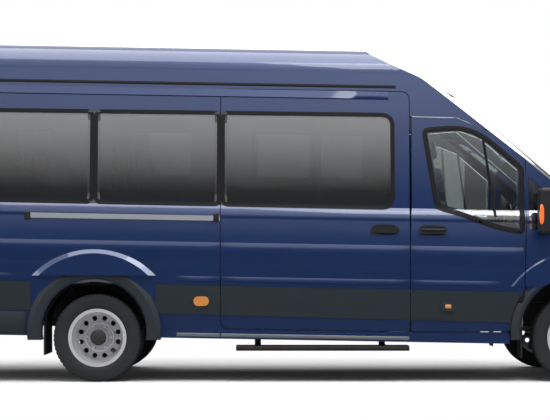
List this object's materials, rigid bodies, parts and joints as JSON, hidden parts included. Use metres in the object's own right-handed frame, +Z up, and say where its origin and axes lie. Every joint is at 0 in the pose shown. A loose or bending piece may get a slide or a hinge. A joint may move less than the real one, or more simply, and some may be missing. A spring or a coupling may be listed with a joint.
{
  "type": "minibus",
  "caption": "Long-wheelbase high-roof minibus with a short sloping bonnet, full side glazing, a sliding side door, twin rear wheels and opening front, rear and bonnet panels.",
  "frame": {"origin": "on the ground below the middle of the outer box, midway between the sides", "axes": "+X to the front, +Y to the left side, +Z up"},
  "size_m": [6.704, 2.474, 2.7573],
  "materials": {
    "paint": "gloss",
    "dark_plastic": "matte",
    "grey_plastic": "matte",
    "glass": "gloss",
    "lamp_clear": "gloss",
    "lamp_red": "gloss",
    "lamp_amber": "gloss",
    "aluminium": "satin",
    "painted_steel": "matte",
    "cast_iron": "matte",
    "exhaust_steel": "satin",
    "seat_fabric": "matte",
    "rubber": "matte",
    "wheel_silver": "satin"
  },
  "bodies": {
    "body": {"arch_trims": "dark_plastic", "cab_seats": "seat_fabric", "chassis_frame": "painted_steel", "cowl": "dark_plastic", "dashboard": "grey_plastic", "door_rail": "aluminium", "engine": "cast_iron", "exhaust": "exhaust_steel", "floor_pan": "painted_steel", "front_bumper": "dark_plastic", "front_panel": "paint", "fuel_tank": "dark_plastic", "grille": "dark_plastic", "headlamps": "lamp_clear", "mirrors": "dark_plastic", "mud_flaps": "rubber", "passenger_seats": "seat_fabric", "propeller_shaft": "painted_steel", "radiator": "aluminium", "rear_axle": "painted_steel", "rear_bumper": "dark_plastic", "rear_springs": "painted_steel", "roof_panel": "paint", "rub_strips": "dark_plastic", "side_markers": "lamp_amber", "side_panel_left": "paint", "side_panel_right": "paint", "side_step": "rubber", "side_windows": "glass", "sliding_door": "paint", "sliding_door_handle": "dark_plastic", "steering_wheel": "grey_plastic", "suspension_arms": "painted_steel", "tail_lamps": "lamp_red", "windscreen": "glass", "wing_left": "paint", "wing_right": "paint", "wipers": "dark_plastic"},
    "bonnet": {"bonnet": "paint"},
    "front_door_right": {"front_door_right": "paint", "front_door_window_right": "glass", "front_door_trim_right": "dark_plastic"},
    "rear_door_right": {"rear_door_right": "paint", "rear_door_window_right": "glass"},
    "knuckle_right": {"knuckle_right": "cast_iron"},
    "front_wheel_right": {"front_rim_right": "wheel_silver", "front_tyre_right": "rubber"},
    "rear_wheels_right": {"rear_rims_right": "wheel_silver", "rear_tyres_right": "rubber"},
    "front_door_left": {"front_door_left": "paint", "front_door_window_left": "glass", "front_door_trim_left": "dark_plastic"},
    "rear_door_left": {"rear_door_left": "paint", "rear_door_window_left": "glass"},
    "knuckle_left": {"knuckle_left": "cast_iron"},
    "front_wheel_left": {"front_rim_left": "wheel_silver", "front_tyre_left": "rubber"},
    "rear_wheels_left": {"rear_rims_left": "wheel_silver", "rear_tyres_left": "rubber"}
  },
  "joints": [
    {"name": "front_door_right_hinge", "type": "hinge", "parent": "body", "child": "front_door_right", "pos_m": [1.874, -0.997, 1], "axis": [0, 0, 1], "range_deg": [0, 68]},
    {"name": "rear_door_right_hinge", "type": "hinge", "parent": "body", "child": "rear_door_right", "pos_m": [-3.294, -0.838, 1.4], "axis": [0, 0, 1], "range_deg": [0, 180]},
    {"name": "steering_right", "type": "hinge", "parent": "body", "child": "knuckle_right", "pos_m": [2.329, -0.8, 0.344], "axis": [0, 0, 1], "range_deg": [-35, 35]},
    {"name": "front_wheel_right_spin", "type": "hinge", "parent": "knuckle_right", "child": "front_wheel_right", "pos_m": [2.329, -0.87, 0.344], "axis": [0, 1, 0], "continuous": true},
    {"name": "rear_wheels_right_spin", "type": "hinge", "parent": "body", "child": "rear_wheels_right", "pos_m": [-1.421, -0.78, 0.344], "axis": [0, 1, 0], "continuous": true},
    {"name": "front_door_left_hinge", "type": "hinge", "parent": "body", "child": "front_door_left", "pos_m": [1.874, 0.997, 1], "axis": [0, 0, -1], "range_deg": [0, 68]},
    {"name": "rear_door_left_hinge", "type": "hinge", "parent": "body", "child": "rear_door_left", "pos_m": [-3.294, 0.838, 1.4], "axis": [0, 0, -1], "range_deg": [0, 180]},
    {"name": "steering_left", "type": "hinge", "parent": "body", "child": "knuckle_left", "pos_m": [2.329, 0.8, 0.344], "axis": [0, 0, 1], "range_deg": [-35, 35]},
    {"name": "front_wheel_left_spin", "type": "hinge", "parent": "knuckle_left", "child": "front_wheel_left", "pos_m": [2.329, 0.87, 0.344], "axis": [0, 1, 0], "continuous": true},
    {"name": "rear_wheels_left_spin", "type": "hinge", "parent": "body", "child": "rear_wheels_left", "pos_m": [-1.421, 0.78, 0.344], "axis": [0, 1, 0], "continuous": true},
    {"name": "bonnet_hinge", "type": "hinge", "parent": "body", "child": "bonnet", "pos_m": [2.594, 0, 1.262], "axis": [0, -1, 0], "range_deg": [0, 50]}
  ],
  "couplings": [
    {"joint": "steering_right", "follows": "steering_left", "ratio": 1}
  ]
}
